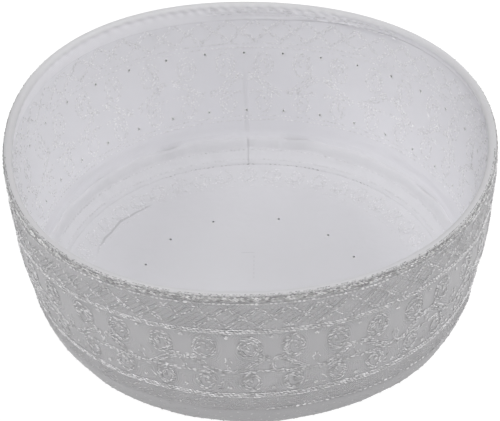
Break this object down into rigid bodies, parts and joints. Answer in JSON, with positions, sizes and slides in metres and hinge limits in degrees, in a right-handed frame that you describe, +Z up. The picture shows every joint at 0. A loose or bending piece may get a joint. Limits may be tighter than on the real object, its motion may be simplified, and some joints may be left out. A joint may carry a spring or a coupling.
{
  "type": "prayer cap",
  "caption": "Round embroidered cotton prayer cap: flat quilted crown on a tapered, eyelet-pierced side band with a turned-in rim hem, hollow and open for the head.",
  "frame": {"origin": "middle of the crown's flat outer face, on which the cap rests with its opening up", "axes": "+Z up through the head opening, +Y to the back of the cap, +X to the wearer's ear on the side that is at the right when the back is farthest away"},
  "size_m": [0.1821, 0.1893, 0.074],
  "materials": {
    "side_band": "white cotton with white embroidery",
    "crown_panel": "white quilted cotton",
    "rim_hem": "white plain cotton, stitched",
    "crown_seam_tape": "white cotton tape, slightly puckered"
  },
  "bodies": {
    "root": {"side_band": "side_band", "crown_panel": "crown_panel", "rim_hem": "rim_hem", "crown_seam_tape": "crown_seam_tape"}
  },
  "joints": []
}
